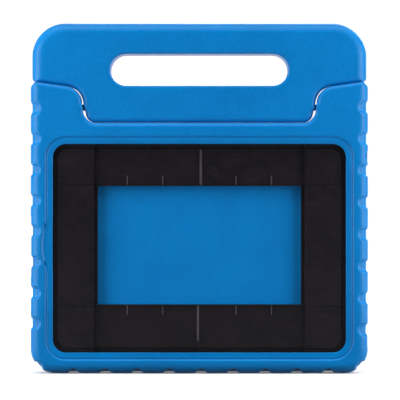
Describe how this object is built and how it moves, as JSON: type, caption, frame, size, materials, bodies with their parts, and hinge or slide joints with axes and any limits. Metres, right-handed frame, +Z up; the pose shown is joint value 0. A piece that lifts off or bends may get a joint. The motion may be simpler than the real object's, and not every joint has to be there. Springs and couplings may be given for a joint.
{
  "type": "tablet case",
  "caption": "Foam tablet case for upright use, with grip grooves, a slotted handle that folds back into a stand, and a segmented frame filling its tablet pocket.",
  "frame": {"origin": "middle of the base that the case stands on", "axes": "+X right as seen from the screen side, +Y towards the back, +Z up; the screen side faces -Y"},
  "size_m": [0.262, 0.028, 0.272],
  "materials": {
    "eva_foam": "matt closed-cell EVA foam, blue",
    "insert_plastic": "moulded polypropylene, black, faintly scuffed",
    "hinge_plastic": "moulded acetal, black",
    "friction_rubber": "nitrile rubber, black",
    "hinge_steel": "blackened drawn steel pin"
  },
  "bodies": {
    "case": {"foam_body": "eva_foam", "ear_socket_left": "hinge_plastic", "ear_socket_right": "hinge_plastic", "friction_ring_left": "friction_rubber", "friction_ring_right": "friction_rubber", "insert_bar_left": "insert_plastic", "insert_bar_right": "insert_plastic", "insert_corner_top_left": "insert_plastic", "insert_corner_top_right": "insert_plastic", "insert_corner_bottom_left": "insert_plastic", "insert_corner_bottom_right": "insert_plastic"},
    "handle": {"foam_handle": "eva_foam", "hinge_pin_left": "hinge_steel", "hinge_pin_right": "hinge_steel", "handle_socket_left": "hinge_plastic", "handle_socket_right": "hinge_plastic"}
  },
  "joints": [
    {"name": "handle_fold", "type": "hinge", "parent": "case", "child": "handle", "pos_m": [0, 0, 0.2065], "axis": [-1, 0, 0], "range_deg": [0, 110]}
  ]
}
